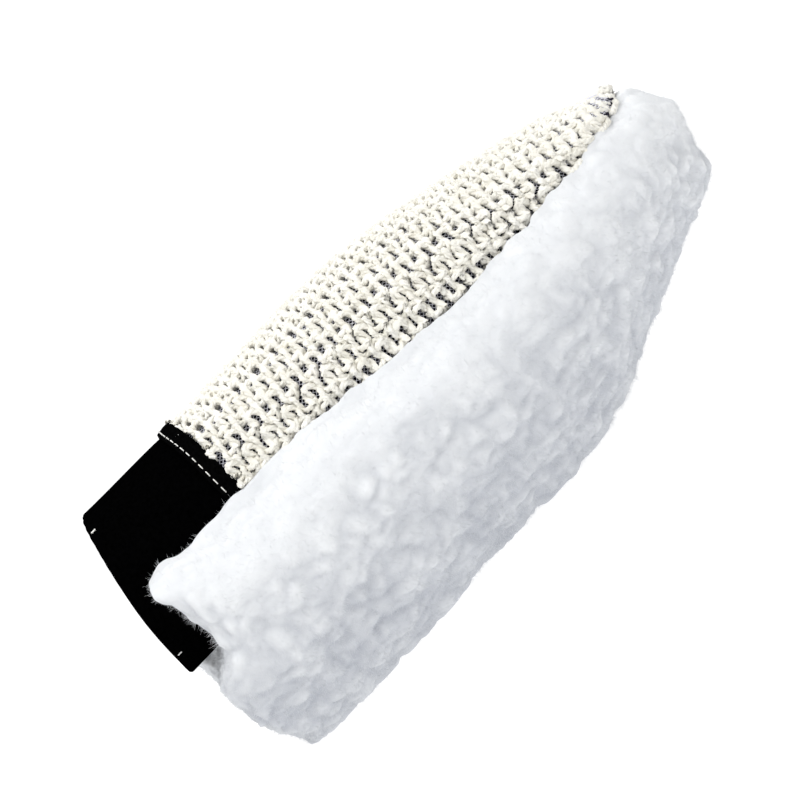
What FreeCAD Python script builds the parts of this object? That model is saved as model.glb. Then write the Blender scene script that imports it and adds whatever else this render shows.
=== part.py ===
"""Wash mitt: a padded hand bag with a fleece palm, a coarse knit back and a black cuff.

Frame: +Y runs from the cuff mouth to the tip, +X is across, +Z is up out of the knit back.
The mitt lies on its fleece, and the origin is at the bottom centre of its box.
Millimetres. Stations are measured along the mitt and moved to the frame by station_origin.
"""
import FreeCAD, Part
import math
import os

SHEET = "Dimensions"

# Every driving dimension that isn't a cross-section of the bag or of the fleece.
DIMENSIONS = [
    # along the mitt
    ("mouth_low", 6), ("mouth_rise", 11), ("cuff_middle", 38), ("cuff_end", 65),
    ("bag_start", 66.5), ("tip_at", 279),
    # cuff, outside the outer fabric
    ("cuff_wide_mouth", 40.4), ("cuff_high_mouth", 34.7), ("cuff_axis_mouth", 84.6),
    ("cuff_wide_middle", 40.8), ("cuff_high_middle", 34.2), ("cuff_axis_middle", 83.8),
    ("cuff_wide_end", 42), ("cuff_high_end", 33.7), ("cuff_axis_end", 83),
    ("cuff_cloth", 1), ("cuff_cloth_gap", 0.2), ("elastic_thick", 0.8),
    ("elastic_width", 9), ("elastic_inset", 2),
    # binding over the end of the cuff, and its thread
    ("binding_start", 60), ("binding_width", 6.3), ("binding_proud", 2.1), ("binding_gap", 0.2),
    ("stitch_line", 62), ("stitch_radius", 0.4), ("stitch_long", 3), ("stitch_lift", 0.15),
    ("tack_radius", 0.45), ("tack_long", 5),
    # layers of the bag, as depths below the outside of the knit
    ("knit_out", 0), ("knit_in", 2.6), ("net_out", 2.8), ("net_in", 3.2),
    ("lining_out", 3.4), ("lining_in", 4.2),
    ("pile_in", 1.8), ("backing_out", 2), ("backing_in", 3.2),
    # seam round the bag
    ("seam_middle", 86), ("seam_slope", 1), ("seam_gap", 1.5), ("seam_tape_thick", 2.4),
    ("seam_tape_out", 0.4), ("seam_tape_in", 8), ("seam_thread_out", 5.6),
    ("seam_thread_in", 6.6), ("seam_thread_thick", 0.8), ("seam_thread_lift", 0.1),
    # the slanted end of the fleece beside the mouth
    ("palm_lean", 5.5), ("backing_set_back", 1.5),
]

# Cross-sections of the bag: place, half width, half height, height of the axis,
# and how much of each layer's depth is left where the layers are sewn together.
BAG_SECTIONS = [
    (8.5, 44, 38.3, 84.8, 1),
    (24, 44.2, 38.1, 84.3, 1),
    (42, 44.8, 37.8, 83.8, 1),
    (66.5, 47, 37.7, 82.9, 1),
    (100, 54, 39.5, 81, 1),
    (130, 57.5, 39.5, 81, 1),
    (160, 58.5, 37.5, 80.5, 1),
    (190, 56, 32, 80.2, 1),
    (220, 49, 23.5, 81, 1),
    (245, 38, 13.8, 82.5, 0.8),
    (260, 25, 7.4, 83.8, 0.6),
    (268, 12, 4.4, 84, 0.5),
]

# Cross-sections of the fleece: place, half width, half height below the axis.
FLEECE_SECTIONS = [
    (8.5, 70.5, 86),
    (40, 75, 86.2),
    (90, 77.5, 86.2),
    (140, 78, 86.2),
    (175, 75, 84),
    (205, 69, 72.5),
    (235, 58, 60),
    (258, 43, 49),
    (271, 28, 37),
    (279, 14, 16),
]
FLEECE_AXIS = 84

STITCHES = 27
STITCH_SPAN = 162

# Bar-tacks: what they cross, place along the mitt from its start, angle round the cuff
# from +X towards +Z, and height of their middle above the cuff's end section.
BARTACKS = [("mouth", 17.5, 55, 0.9), ("mouth", 12, -42, 0.4), ("binding", 3, 55, 2.9)]

# The first section of the layers that start where the cuff ends.
FIRST_BAG_SECTION = 4

# Larger than the mitt, for blocks that cut it.
BIG = 400.0

doc = FreeCAD.newDocument("wash_mitt")
sheet = doc.addObject("Spreadsheet::Sheet", SHEET)


def write_cell(row, alias, value):
    """One named number of the sheet."""
    sheet.set(f"A{row}", alias)
    sheet.set(f"B{row}", str(value))
    sheet.setAlias(f"B{row}", alias)


def write_sheet():
    cells = list(DIMENSIONS)
    for number, section in enumerate(BAG_SECTIONS, 1):
        names = ("bag_at", "bag_wide", "bag_high", "bag_axis", "bag_depth")
        cells += [(f"{name}_{number}", value) for name, value in zip(names, section)]
    for number, section in enumerate(FLEECE_SECTIONS, 1):
        names = ("fleece_at", "fleece_wide", "fleece_high")
        cells += [(f"{name}_{number}", value) for name, value in zip(names, section)]
    cells.append(("fleece_axis", FLEECE_AXIS))
    for row, (alias, value) in enumerate(cells, 1):
        write_cell(row, alias, value)
    sheet.set("D1", "station_origin")
    sheet.set("E1", "=(mouth_low + tip_at) / 2")
    sheet.setAlias("E1", "station_origin")
    doc.recompute()


def dim(alias):
    """The sheet's value, for a place that part of the model works out in code."""
    return float(sheet.get(alias))


def cell(alias):
    """The name that an expression uses for a cell."""
    return f"{SHEET}.{alias}"


def bind(thing, **expressions):
    for prop, expression in expressions.items():
        thing.setExpression(prop.replace("__", "."), expression)
    return thing


def ellipse(name, along, wide, high, axis, lean=0, upright=False):
    """A closed ellipse across the mitt, bound to the sheet by expressions.

    lean tips its top towards +Y, and upright stands its larger radius on end.
    """
    ring = doc.addObject("Part::Ellipse", name)
    turn = FreeCAD.Rotation(FreeCAD.Vector(1, 0, 0), 90 - lean)
    if upright:
        turn = turn.multiply(FreeCAD.Rotation(FreeCAD.Vector(0, 0, 1), 90))
    ring.Placement = FreeCAD.Placement(FreeCAD.Vector(0, 0, 0), turn)
    major, minor = (high, wide) if upright else (wide, high)
    # The larger radius goes first: an ellipse refuses a minor radius above its major one.
    bind(ring, MajorRadius=major)
    bind(ring, MinorRadius=minor)
    bind(ring, Placement__Base__y=f"{along} - {cell('station_origin')}")
    bind(ring, Placement__Base__z=axis)
    return ring


def mouth_middle():
    return f"{cell('mouth_low')} + {cell('mouth_rise')} / 2"


def mouth_lean():
    """How far the mouth leans back from upright, in degrees."""
    return math.degrees(math.atan2(dim("mouth_rise"), 2 * dim("cuff_high_mouth")))


def loft(name, rings):
    body = doc.addObject("Part::Loft", name)
    body.Sections = rings
    body.Solid = True
    body.Ruled = False
    body.MaxDegree = 3
    return body


def bag_loft(name, depth, side_only=False, first=1, set_back="0"):
    """The bag's shape, a given depth below the outside of the knit.

    side_only keeps half the height, for a cutter that only shapes the plan outline.
    The first section of all lies along the fleece's slanted end, moved by set_back.
    """
    rings = []
    last = len(BAG_SECTIONS)
    for number in range(first, last + 1):
        inset = f"{depth} * {cell(f'bag_depth_{number}')}"
        along = cell(f"bag_at_{number}")
        lean = 0
        if number == 1:
            along += f" + {set_back}"
            lean = -dim("palm_lean")
        if number == last:
            along += f" - {depth}"
        high = f"{cell(f'bag_high_{number}')} - {inset}"
        wide = f"{cell(f'bag_wide_{number}')} - {inset}"
        if side_only:
            high = f"{cell(f'bag_high_{number}')} * 0.5"
        axis = cell(f"bag_axis_{number}")
        rings.append(ellipse(f"{name}_ring_{number}", along, wide, high, axis, lean))
    return loft(name, rings)


def cuff_loft(name, depth):
    """The cuff's shape, a given depth below the outside of its fabric."""
    places = (("mouth", mouth_middle(), mouth_lean()), ("middle", cell("cuff_middle"), 0),
              ("end", cell("cuff_end"), 0))
    rings = []
    for place, along, lean in places:
        wide = f"{cell(f'cuff_wide_{place}')} - ({depth})"
        high = f"{cell(f'cuff_high_{place}')} - ({depth})"
        axis = cell(f"cuff_axis_{place}")
        rings.append(ellipse(f"{name}_{place}", along, wide, high, axis, lean))
    return loft(name, rings)


def fleece_loft(name):
    rings = []
    for number in range(1, len(FLEECE_SECTIONS) + 1):
        along = cell(f"fleece_at_{number}")
        lean = 0
        if number == 1:
            lean = -dim("palm_lean")
        rings.append(ellipse(f"{name}_ring_{number}", along, cell(f"fleece_wide_{number}"),
                             cell(f"fleece_high_{number}"), cell("fleece_axis"), lean, True))
    return loft(name, rings)


def combine(kind, name, base, tool):
    """A boolean of two objects: Cut or Common."""
    result = doc.addObject(f"Part::{kind}", name)
    result.Base = base
    result.Tool = tool
    return result


def tilted_block(name, bottom, thick, middle, tilt):
    """A wide block on a plane through (0, 0, middle), tilted about X, from bottom up."""
    block = doc.addObject("Part::Box", name)
    block.Length = BIG
    block.Width = BIG
    bind(block, Height=thick)
    turn = FreeCAD.Rotation(FreeCAD.Vector(1, 0, 0), -tilt)
    corner = turn.multVec(FreeCAD.Vector(BIG / 2, BIG / 2, 0))
    block.Placement = FreeCAD.Placement(FreeCAD.Vector(0, 0, 0) - corner, turn)
    bind(block, Placement__Base__z=f"{middle} + {bottom} + {-corner.z}")
    return block


def seam_block(name, bottom, thick):
    return tilted_block(name, bottom, thick, cell("seam_middle"), dim("seam_slope"))


def finish_node(thing, node):
    """Give a sub-part the name of its file."""
    thing.Label = node
    nodes.append(thing)
    return thing


def bag_layer(node, out_depth, in_depth, half):
    """One cloth of the bag: the shell between two depths, above or below the seam."""
    outer = bag_loft(f"{node}_outer", out_depth, first=FIRST_BAG_SECTION)
    inner = bag_loft(f"{node}_inner", in_depth, first=FIRST_BAG_SECTION)
    shell = combine("Cut", f"{node}_shell", outer, inner)
    return combine("Common", f"{node}_half", shell, half)


def make_back_layers():
    knit = bag_layer("knit_mesh_panel", cell("knit_out"), cell("knit_in"), above_seam)
    finish_node(knit, "knit_mesh_panel")
    net = bag_layer("netting_underlay", cell("net_out"), cell("net_in"), above_seam)
    finish_node(net, "netting_underlay")
    lining = bag_layer("back_lining", cell("lining_out"), cell("lining_in"), above_seam)
    finish_node(lining, "back_lining")


def make_palm_layers():
    lining = bag_layer("palm_lining", cell("lining_out"), cell("lining_in"), below_seam)
    finish_node(lining, "palm_lining")

    outer = bag_loft("backing_outer", cell("backing_out"), set_back=cell("backing_set_back"))
    inner = bag_loft("backing_inner", cell("backing_in"), set_back=cell("backing_set_back"))
    shell = combine("Cut", "backing_shell", outer, inner)
    finish_node(combine("Common", "backing", shell, below_seam), "fleece_backing")

    # The hollow starts in front of the pile, so that it is open at that end.
    hollow = bag_loft("pile_inner", cell("pile_in"), set_back=f"-{cell('bag_at_1')}")
    pile = combine("Common", "pile_half", fleece_loft("pile_outer"), below_seam)
    pile = combine("Cut", "pile_hollow", pile, hollow)
    floor = tilted_block("floor_block", f"-{BIG / 2}", str(BIG / 2), "0", 0)
    finish_node(combine("Cut", "pile_flattened", pile, floor), "fleece_pile")


def make_seam():
    """The sewn edges of the bag's layers, taped together, and the thread that holds them."""
    outer = bag_loft("tape_outer", cell("seam_tape_out"), first=FIRST_BAG_SECTION)
    inner = bag_loft("tape_inner", cell("seam_tape_in"), True, FIRST_BAG_SECTION)
    ring = combine("Cut", "tape_ring", outer, inner)
    half = f"{cell('seam_tape_thick')} / 2"
    slab = seam_block("tape_slab", f"-{half}", cell("seam_tape_thick"))
    finish_node(combine("Common", "tape", ring, slab), "perimeter_seam_tape")

    outer = bag_loft("thread_outer", cell("seam_thread_out"), True, FIRST_BAG_SECTION)
    inner = bag_loft("thread_inner", cell("seam_thread_in"), True, FIRST_BAG_SECTION)
    ring = combine("Cut", "thread_ring", outer, inner)
    bottom = f"-{half} - {cell('seam_thread_thick')} - {cell('seam_thread_lift')}"
    slab = seam_block("thread_slab", bottom, cell("seam_thread_thick"))
    finish_node(combine("Common", "thread", ring, slab), "perimeter_seam_thread")


def cuff_layer(name, out_depth, in_depth):
    outer = cuff_loft(f"{name}_outer", out_depth)
    inner = cuff_loft(f"{name}_inner", in_depth)
    return combine("Cut", f"{name}_tube", outer, inner)


def make_cuff():
    cloth = cell("cuff_cloth")
    gap = cell("cuff_cloth_gap")
    elastic_out = f"{cloth} + {gap}"
    elastic_in = f"{elastic_out} + {cell('elastic_thick')}"
    lining_out = f"{elastic_in} + {gap}"
    lining_in = f"{lining_out} + {cloth}"
    finish_node(cuff_layer("cuff_outer", "0", cloth), "cuff_outer")
    finish_node(cuff_layer("cuff_lining", lining_out, lining_in), "cuff_lining")

    tube = cuff_layer("cuff_elastic", elastic_out, elastic_in)
    band = doc.addObject("Part::Box", "elastic_band")
    band.Length = BIG
    band.Height = BIG
    bind(band, Width=cell("elastic_width"))
    turn = FreeCAD.Rotation(FreeCAD.Vector(1, 0, 0), -mouth_lean())
    face_point = turn.multVec(FreeCAD.Vector(BIG / 2, 0, BIG / 2))
    band.Placement = FreeCAD.Placement(FreeCAD.Vector(0, 0, 0) - face_point, turn)
    along = f"{mouth_middle()} + {cell('elastic_inset')} - {cell('station_origin')}"
    bind(band, Placement__Base__y=f"{along} + {-face_point.y}")
    bind(band, Placement__Base__z=f"{cell('cuff_axis_mouth')} + {-face_point.z}")
    finish_node(combine("Common", "elastic", tube, band), "cuff_elastic")


def binding_ring(name, depth):
    """The binding's outline at one depth, as a straight tube over the cuff's end."""
    rings = []
    for end, offset in (("start", "0"), ("end", cell("binding_width"))):
        along = f"{cell('binding_start')} + {offset}"
        wide = f"{cell('cuff_wide_end')} - ({depth})"
        high = f"{cell('cuff_high_end')} - ({depth})"
        rings.append(ellipse(f"{name}_{end}", along, wide, high, cell("cuff_axis_end")))
    return loft(name, rings)


def make_binding():
    gap = f"-{cell('binding_gap')}"
    outer = binding_ring("binding_outer", f"{gap} - {cell('binding_proud')}")
    tube = combine("Cut", "binding_tube", outer, binding_ring("binding_inner", gap))
    finish_node(combine("Common", "binding", tube, above_seam), "cuff_binding")


def thread_bar(name, angle, lift, along, radius, long, crosswise):
    """A short round stitch on the cuff, along it or across it, at an angle round it."""
    wide = dim("cuff_wide_end") + lift
    high = dim("cuff_high_end") + lift
    around = math.radians(angle)
    point = FreeCAD.Vector(wide * math.cos(around), along - dim("station_origin"),
                           dim("cuff_axis_end") + high * math.sin(around))
    way = FreeCAD.Vector(0, 1, 0)
    if crosswise:
        way = FreeCAD.Vector(-wide * math.sin(around), 0, high * math.cos(around))
    way.normalize()
    bar = doc.addObject("Part::Cylinder", name)
    bar.Placement = FreeCAD.Placement(point - way * (dim(long) / 2),
                                      FreeCAD.Rotation(FreeCAD.Vector(0, 0, 1), way))
    bind(bar, Radius=cell(radius), Height=cell(long))
    return bar


def group(node, bars):
    """Loose stitches kept as one node of separate solids."""
    compound = doc.addObject("Part::Compound", f"{node}_group")
    compound.Links = bars
    return finish_node(compound, node)


def make_stitches():
    on_binding = (dim("binding_gap") + dim("binding_proud") + dim("stitch_radius")
                  + dim("stitch_lift"))
    bars = []
    for number in range(STITCHES):
        angle = 90 - STITCH_SPAN / 2 + STITCH_SPAN * number / (STITCHES - 1)
        bars.append(thread_bar(f"stitch_{number}", angle, on_binding, dim("stitch_line"),
                               "stitch_radius", "stitch_long", True))
    group("binding_topstitch", bars)


def make_bartacks():
    """Three bars: one across the binding's knit side, two over the mouth's edge."""
    bars = []
    for number, (place, along, angle, lift) in enumerate(BARTACKS):
        start = dim("binding_start") if place == "binding" else 0
        bars.append(thread_bar(f"bartack_{number}", angle, lift, start + along,
                               "tack_radius", "tack_long", False))
    group("bartacks", bars)


def check_objects():
    """Stop before writing anything if part of the document failed."""
    for thing in doc.Objects:
        if "Invalid" in thing.State or "Error" in thing.State:
            raise RuntimeError(f"{thing.Name} failed: {thing.State}")
    for node in nodes:
        shape = node.Shape
        if shape.isNull() or not shape.isValid() or not shape.Solids:
            raise RuntimeError(f"{node.Label} has no valid solid")
        box = shape.BoundBox
        print(f"{node.Label:24s} solids {len(shape.Solids):3d}  volume {shape.Volume:10.0f}"
              f"  x {box.XMin:7.1f} {box.XMax:7.1f}  y {box.YMin:7.1f} {box.YMax:7.1f}"
              f"  z {box.ZMin:7.1f} {box.ZMax:7.1f}")


def write_parts():
    os.makedirs("parts", exist_ok=True)
    for node in nodes:
        node.Shape.exportStep(f"parts/{node.Label}.step")


nodes = []
write_sheet()
above_seam = seam_block("above_seam", cell("seam_gap"), str(BIG))
below_seam = seam_block("below_seam", f"-{BIG} - {cell('seam_gap')}", str(BIG))
make_back_layers()
make_palm_layers()
make_seam()
make_cuff()
make_binding()
make_stitches()
make_bartacks()
doc.recompute()
check_objects()
write_parts()
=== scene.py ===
"""Wash mitt: the look of every piece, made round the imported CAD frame.

Metres, in the CAD's own frame: +Y from the cuff mouth to the tip, +Z out of the knit back.
The bag's skins follow the CAD's shells, read with rays towards a straight axis inside the mitt.
"""
import bpy
import math
import numpy as np
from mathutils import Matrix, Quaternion, Vector
from mathutils.bvhtree import BVHTree


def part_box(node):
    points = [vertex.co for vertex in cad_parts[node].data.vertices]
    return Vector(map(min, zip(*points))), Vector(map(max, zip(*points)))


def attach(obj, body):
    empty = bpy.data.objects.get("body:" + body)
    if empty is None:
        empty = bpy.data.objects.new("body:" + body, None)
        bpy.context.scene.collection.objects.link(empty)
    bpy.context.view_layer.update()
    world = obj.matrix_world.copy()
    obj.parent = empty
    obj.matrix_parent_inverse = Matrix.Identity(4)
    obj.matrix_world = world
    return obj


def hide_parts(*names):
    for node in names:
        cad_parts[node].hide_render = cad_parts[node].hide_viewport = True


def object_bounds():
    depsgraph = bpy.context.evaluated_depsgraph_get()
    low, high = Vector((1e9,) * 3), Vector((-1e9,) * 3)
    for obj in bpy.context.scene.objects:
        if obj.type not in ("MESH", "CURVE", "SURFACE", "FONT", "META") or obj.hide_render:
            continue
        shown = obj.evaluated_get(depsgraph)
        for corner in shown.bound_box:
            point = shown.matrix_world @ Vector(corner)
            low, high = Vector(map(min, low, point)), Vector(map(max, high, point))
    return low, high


MM = 0.001
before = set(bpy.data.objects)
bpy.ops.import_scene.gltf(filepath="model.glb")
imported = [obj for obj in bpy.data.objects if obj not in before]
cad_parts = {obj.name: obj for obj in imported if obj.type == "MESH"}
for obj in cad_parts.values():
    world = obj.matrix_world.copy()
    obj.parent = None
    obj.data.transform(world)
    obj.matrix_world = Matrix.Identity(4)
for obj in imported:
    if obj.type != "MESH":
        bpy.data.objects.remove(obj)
cad_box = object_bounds()
rng = np.random.default_rng(72)

# -------- helpers: arrays and meshes

TINY = 1e-12
# A direction that no path follows.
GUIDE = np.array([0.31, 0.17, 0.93])


def node_box(node):
    low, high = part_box(node)
    return np.array(low), np.array(high)


def linked(name, data):
    made = bpy.data.objects.new(name, data)
    bpy.context.scene.collection.objects.link(made)
    return made


def new_object(name, vertices, faces, finish):
    mesh = bpy.data.meshes.new(name)
    faces = np.asarray(faces, np.int32)
    starts = np.arange(0, faces.size, faces.shape[1], dtype=np.int32)
    mesh.vertices.add(len(vertices))
    mesh.vertices.foreach_set("co", np.asarray(vertices, np.float32).ravel())
    mesh.loops.add(faces.size)
    mesh.loops.foreach_set("vertex_index", faces.ravel())
    mesh.polygons.add(len(faces))
    mesh.polygons.foreach_set("loop_start", starts)
    mesh.update(calc_edges=True)
    mesh.validate()
    mesh.polygons.foreach_set("use_smooth", np.full(len(mesh.polygons), True))
    mesh.materials.append(finish)
    return linked(name, mesh)


def settle(made, node):
    """Ride on the mitt's one body, and hide the CAD node that the piece takes the place of."""
    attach(made, "root")
    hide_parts(node)


def grid_faces(rows, columns, wrap=False, start=0):
    """Quads of a grid of rows by columns of vertices."""
    row = np.arange(rows - 1)[:, None]
    last = columns if wrap else columns - 1
    column = np.arange(last)[None, :]
    beside = (column + 1) % columns
    a = row * columns + column
    b = row * columns + beside
    c = (row + 1) * columns + beside
    d = (row + 1) * columns + column
    return start + np.stack([a, b, c, d], -1).reshape(-1, 4)


def unit(vectors):
    """Vectors brought to a length of one."""
    return vectors / (np.linalg.norm(vectors, axis=-1, keepdims=True) + TINY)


def arc_lengths(line):
    """Length along a line of points up to each of them."""
    return np.concatenate([[0], np.cumsum(np.linalg.norm(np.diff(line, axis=0), axis=1))])


def ways_across(paths):
    """Two unit vectors at each point of paths, square to the path and to each other."""
    tangent = unit(np.gradient(paths, axis=-2))
    side = unit(np.cross(tangent, GUIDE))
    return side, np.cross(side, tangent)


def tubes(paths, radii, sides):
    """Round tubes with open ends along many paths of equal length.

    paths is (tubes, points, 3) and radii (tubes, points); returns vertices and quads.
    """
    count, length = paths.shape[:2]
    side, up = ways_across(paths)
    angle = np.arange(sides) * math.tau / sides
    ring = (side[:, :, None] * np.cos(angle)[None, None, :, None]
            + up[:, :, None] * np.sin(angle)[None, None, :, None])
    points = paths[:, :, None] + ring * radii[:, :, None, None]
    starts = (np.arange(count) * length * sides)[:, None, None]
    faces = grid_faces(length, sides, wrap=True)[None] + starts
    return points.reshape(-1, 3), faces.reshape(-1, 4)


def joined(parts):
    """One array of vertices and one of quads out of many pairs of them."""
    vertices, faces, start = [], [], 0
    for points, quads in parts:
        vertices.append(points)
        faces.append(quads + start)
        start += len(points)
    return np.concatenate(vertices), np.concatenate(faces)


def span(inside):
    """The run from the first place that is inside to the last."""
    kept = np.flatnonzero(inside)
    return slice(kept[0], kept[-1] + 1)


def hashed(cells, salt):
    """A number from 0 to 1 for each whole-number cell."""
    cells = cells.astype(np.int64).astype(np.uint32)
    mixed = (cells[..., 0] * np.uint32(73856093) ^ cells[..., 1] * np.uint32(19349663)
             ^ cells[..., 2] * np.uint32(83492791) ^ np.uint32(salt * 2654435761 % 2**32))
    mixed = (mixed ^ (mixed >> np.uint32(15))) * np.uint32(2246822519)
    mixed = (mixed ^ (mixed >> np.uint32(13))) * np.uint32(3266489917)
    mixed = mixed ^ (mixed >> np.uint32(16))
    return mixed.astype(np.float64) / 2**32


def noise(points, size, salt=1):
    """Smooth noise from -1 to 1 with features of the given size."""
    scaled = points / size
    cell = np.floor(scaled)
    part = scaled - cell
    part = part * part * (3 - 2 * part)
    total = np.zeros(len(points))
    for corner in np.ndindex(2, 2, 2):
        corner = np.array(corner)
        weight = np.prod(np.where(corner, part, 1 - part), axis=1)
        total += weight * hashed(cell + corner, salt)
    return total * 2 - 1


def layered(points, layers):
    """The sum of noises given as (size, strength, salt)."""
    return sum(strength * noise(points, size, salt) for size, strength, salt in layers)


def tuft_cells(points, size, salt=1):
    """Distance to the nearest and second nearest of scattered centres, in cell sizes.

    The third result is a random number of the nearest centre's own.
    """
    scaled = points / size
    cell = np.floor(scaled)
    first = np.full(len(points), 9.0)
    second = np.full(len(points), 9.0)
    own = np.zeros(len(points))
    for step in np.ndindex(3, 3, 3):
        near = cell + np.array(step) - 1
        centre = near + np.stack([hashed(near, salt + k) for k in (11, 12, 13)], 1)
        away = np.linalg.norm(scaled - centre, axis=1)
        second = np.minimum(second, np.maximum(first, away))
        own = np.where(away < first, hashed(near, salt + 14), own)
        first = np.minimum(first, away)
    return first, second, own


def smoothstep(low, high, value):
    part = np.clip((value - low) / (high - low), 0, 1)
    return part * part * (3 - 2 * part)


def fade(low, high, value):
    return 1 - smoothstep(low, high, value)


def smooth_grid(grid, passes):
    """Average each value with its neighbours along both directions of a grid."""
    for _ in range(2 * passes):
        padded = np.pad(grid, ((1, 1), (0, 0)), mode="edge")
        grid = ((padded[:-2] + 2 * grid + padded[2:]) / 4).T
    return grid


def between(grid, i, j):
    """A grid's values at places between its rows and columns."""
    i0 = np.minimum(i.astype(int), grid.shape[0] - 2)
    j0 = np.minimum(j.astype(int), grid.shape[1] - 2)
    u, v = i - i0, j - j0
    return ((grid[i0, j0] * (1 - u) + grid[i0 + 1, j0] * u) * (1 - v)
            + (grid[i0, j0 + 1] * (1 - u) + grid[i0 + 1, j0 + 1] * u) * v)


# -------- the CAD's skins, as functions

SKIN_SMOOTHING = 2
SHEET_STEPS = 121
RAY_REACH = 0.3
tape_low, tape_high = node_box("perimeter_seam_tape")
AXIS_Z = (tape_low[2] + tape_high[2]) / 2
SEAM_SLOPE = math.tan(math.radians(1))
SEAM_GAP = 1.5 * MM


def seam_height(y):
    """Height of the middle of the seam tape along the mitt."""
    return AXIS_Z - SEAM_SLOPE * (y - (tape_low[1] + tape_high[1]) / 2)


knit_start, knit_end = (corner[1] for corner in node_box("knit_mesh_panel"))
pile_low, pile_high = node_box("fleece_pile")
cuff_low, cuff_high = node_box("cuff_outer")
binding_low, binding_high = node_box("cuff_binding")


def tree_of(node):
    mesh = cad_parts[node].data
    faces = [tuple(p.vertices) for p in mesh.polygons]
    return BVHTree.FromPolygons([v.co.copy() for v in mesh.vertices], faces)


def outside(tree, along, angles):
    """Distance from the axis to a shell's outer face, or nan where a ray misses."""
    found = np.full((len(along), len(angles)), np.nan)
    for i, y in enumerate(along):
        for j, angle in enumerate(angles):
            way = Vector((math.cos(angle), 0, math.sin(angle)))
            hit = tree.ray_cast(Vector((0, y, AXIS_Z)) + way * RAY_REACH, -way, RAY_REACH)
            if hit[0] is not None:
                found[i, j] = RAY_REACH - hit[3]
    return found


def fill_gaps(grid):
    """Replace nan from the known values beside it in its row, or else in its column."""
    for line in [*grid, *grid.T]:
        known = ~np.isnan(line)
        if known.any():
            line[~known] = np.interp(np.flatnonzero(~known), np.flatnonzero(known), line[known])
    return grid


class Skin:
    """A shell round the axis: distance by place along the mitt and angle round it."""

    def __init__(self, along, angles, distance):
        self.along = along
        self.angles = angles
        self.distance = smooth_grid(distance, SKIN_SMOOTHING)

    def radius(self, y, angle):
        i = np.interp(y, self.along, np.arange(len(self.along)))
        j = np.interp(angle, self.angles, np.arange(len(self.angles)))
        return between(self.distance, i, j)

    def point(self, y, angle, lift=0.0):
        r = self.radius(y, angle) + lift
        return np.stack([r * np.cos(angle), y + 0 * angle, AXIS_Z + r * np.sin(angle)], -1)


def spaced_towards_end(low, high, count):
    """Places from low to high that crowd together near high."""
    t = np.linspace(0, 1, count)
    return low + (high - low) * np.sin(t * math.pi / 2)


STATIONS = spaced_towards_end(knit_start, knit_end - 0.2 * MM, 90)
SEAM_REACH = 0.18
# The share of its height that the back loses all along, and at its tip.
BACK_SQUASH = 0.045
TIP_SQUASH = 0.5
TIP_DROOP = 24 * MM
BACKING_DEPTH = 2 * MM
UPPER = np.linspace(-SEAM_REACH, math.pi + SEAM_REACH, 97)
backing_tree = tree_of("fleece_backing")


def back_distance():
    """The knit's face, lowered a little, and carried on below the seam over the backing."""
    above = outside(tree_of("knit_mesh_panel"), STATIONS, UPPER)
    below = outside(backing_tree, STATIONS, UPPER) + BACKING_DEPTH
    whole = fill_gaps(np.where(np.isnan(above), below, above))
    droop = TIP_SQUASH * smoothstep(knit_end - TIP_DROOP, knit_end, STATIONS)[:, None]
    return whole * (1 - (BACK_SQUASH + droop) * np.clip(np.sin(UPPER), 0, 1))


back_skin = Skin(STATIONS, UPPER, back_distance())


class Sheet:
    """A skin laid out flat: place along the mitt, and arc length from its middle line."""

    def __init__(self, skin):
        self.skin = skin
        fine = np.linspace(skin.angles[0], skin.angles[-1], SHEET_STEPS)
        middle = (fine[0] + fine[-1]) / 2
        self.half = np.zeros(len(skin.along))
        fraction = np.linspace(-1, 1, SHEET_STEPS)
        self.angle = np.zeros((len(skin.along), SHEET_STEPS))
        for i, y in enumerate(skin.along):
            arc = arc_lengths(skin.point(np.full(SHEET_STEPS, y), fine))
            arc -= np.interp(middle, fine, arc)
            self.half[i] = min(-arc[0], arc[-1])
            self.angle[i] = np.interp(fraction * self.half[i], arc, fine)

    def half_at(self, y):
        return np.interp(y, self.skin.along, self.half)

    def place(self, y, arc, lift=0.0):
        """Points a lift above the skin."""
        step = 0.4 * MM
        here = self._on(y, arc)
        along = self._on(y + step, arc) - self._on(y - step, arc)
        across = self._on(y, arc + step) - self._on(y, arc - step)
        normal = unit(np.cross(along, across))
        outward = here - np.stack([0 * y, y, 0 * y + AXIS_Z], -1)
        normal *= np.sign((normal * outward).sum(-1, keepdims=True))
        return here + normal * np.asarray(lift)[..., None]

    def _on(self, y, arc):
        rows = self.skin.along
        y = np.clip(y, rows[0], rows[-1])
        i = np.interp(y, rows, np.arange(len(rows)))
        share = np.clip(arc / self.half_at(y), -1, 1)
        j = (share + 1) / 2 * (SHEET_STEPS - 1)
        return self.skin.point(y, between(self.angle, i, j))


# -------- materials


def material(name, color, roughness=0.9, sheen=0.0):
    """A Principled material; returns it with its node tree and shader."""
    made = bpy.data.materials.new(name)
    made.use_nodes = True
    tree = made.node_tree
    shader = tree.nodes["Principled BSDF"]
    for key, value in (("Base Color", (*color, 1)), ("Roughness", roughness),
                       ("Specular IOR Level", 0.15), ("Sheen Weight", sheen), ("Sheen Roughness", 0.6)):
        shader.inputs[key].default_value = value
    return made, tree, shader


def node(tree, kind, **settings):
    made = tree.nodes.new(kind)
    for key, value in settings.items():
        if key in made.inputs:
            made.inputs[key].default_value = value
        else:
            setattr(made, key, value)
    return made


def object_noise(tree, scale, detail=3.0):
    """Noise by place on the object, with its scale in features per metre."""
    place = node(tree, "ShaderNodeTexCoord")
    made = node(tree, "ShaderNodeTexNoise", Scale=scale, Detail=detail)
    tree.links.new(place.outputs["Object"], made.inputs["Vector"])
    return made.outputs["Fac"]


def glow(shader, color, strength):
    shader.inputs["Emission Color"].default_value = (*color, 1)
    shader.inputs["Emission Strength"].default_value = strength


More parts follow.
